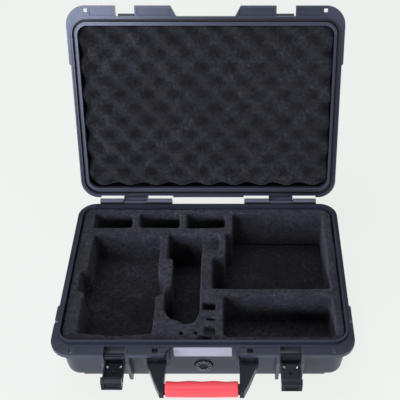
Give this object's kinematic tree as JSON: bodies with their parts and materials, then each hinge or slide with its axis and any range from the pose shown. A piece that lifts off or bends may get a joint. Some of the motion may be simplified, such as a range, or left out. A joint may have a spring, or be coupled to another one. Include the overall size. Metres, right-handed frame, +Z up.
{
  "type": "drone carrying case",
  "caption": "Hard plastic carrying case with a hinged lid, foam pockets for a folding drone and its accessories, snap latches and a folding handle.",
  "frame": {"origin": "centre of the flat underside of the base", "axes": "+Z up, -Y towards the front with the handle and latches, +X to the right seen from the front"},
  "size_m": [0.438, 0.5384, 0.3814],
  "materials": {
    "shell_plastic": "fine moulded texture",
    "foam": "soft foam with a flocked face",
    "plate_plastic": "satin, blank",
    "trim_plastic": "satin",
    "seal_rubber": "smooth",
    "grip_red": "smooth satin",
    "pin_steel": "turned steel"
  },
  "bodies": {
    "base": {"base_shell": "shell_plastic", "base_foam_rear_left": "foam", "base_foam_rear_middle": "foam", "base_foam_rear_right": "foam", "base_foam_left": "foam", "base_foam_middle": "foam", "base_foam_front": "foam", "base_foam_front_left": "foam", "base_foam_middle_front_left": "foam", "base_foam_middle_front_right": "foam", "base_foam_front_right": "foam", "base_foam_right": "foam", "base_foam_floor": "foam", "name_plate": "plate_plastic", "valve_body": "trim_plastic", "valve_seal": "seal_rubber", "valve_nut": "trim_plastic", "hinge_pin_left": "pin_steel", "hinge_pin_right": "pin_steel", "handle_pin_left": "pin_steel", "handle_pin_right": "pin_steel", "latch_pin_left": "pin_steel", "latch_pin_right": "pin_steel"},
    "lid": {"lid_shell": "shell_plastic", "lid_foam": "foam", "lid_seal": "seal_rubber"},
    "handle": {"handle_frame": "trim_plastic", "handle_grip": "grip_red"},
    "left_latch": {"latch_left": "trim_plastic"},
    "right_latch": {"latch_right": "trim_plastic"},
    "knob": {"valve_knob": "trim_plastic"}
  },
  "joints": [
    {"name": "lid_hinge", "type": "hinge", "parent": "base", "child": "lid", "pos_m": [0, 0.1607, 0.079], "axis": [1, 0, 0], "range_deg": [0, 110.2]},
    {"name": "handle_pivot", "type": "hinge", "parent": "base", "child": "handle", "pos_m": [0, -0.158, 0.067], "axis": [-1, 0, 0], "range_deg": [-80, 15]},
    {"name": "left_latch_pivot", "type": "hinge", "parent": "base", "child": "left_latch", "pos_m": [-0.125, -0.157, 0.073], "axis": [-1, 0, 0], "range_deg": [-78, 90]},
    {"name": "right_latch_pivot", "type": "hinge", "parent": "base", "child": "right_latch", "pos_m": [0.125, -0.157, 0.073], "axis": [-1, 0, 0], "range_deg": [-73, 95]},
    {"name": "valve_turn", "type": "hinge", "parent": "base", "child": "knob", "pos_m": [0, -0.145, 0.037], "axis": [0, -1, 0], "range_deg": [0, 360]}
  ]
}
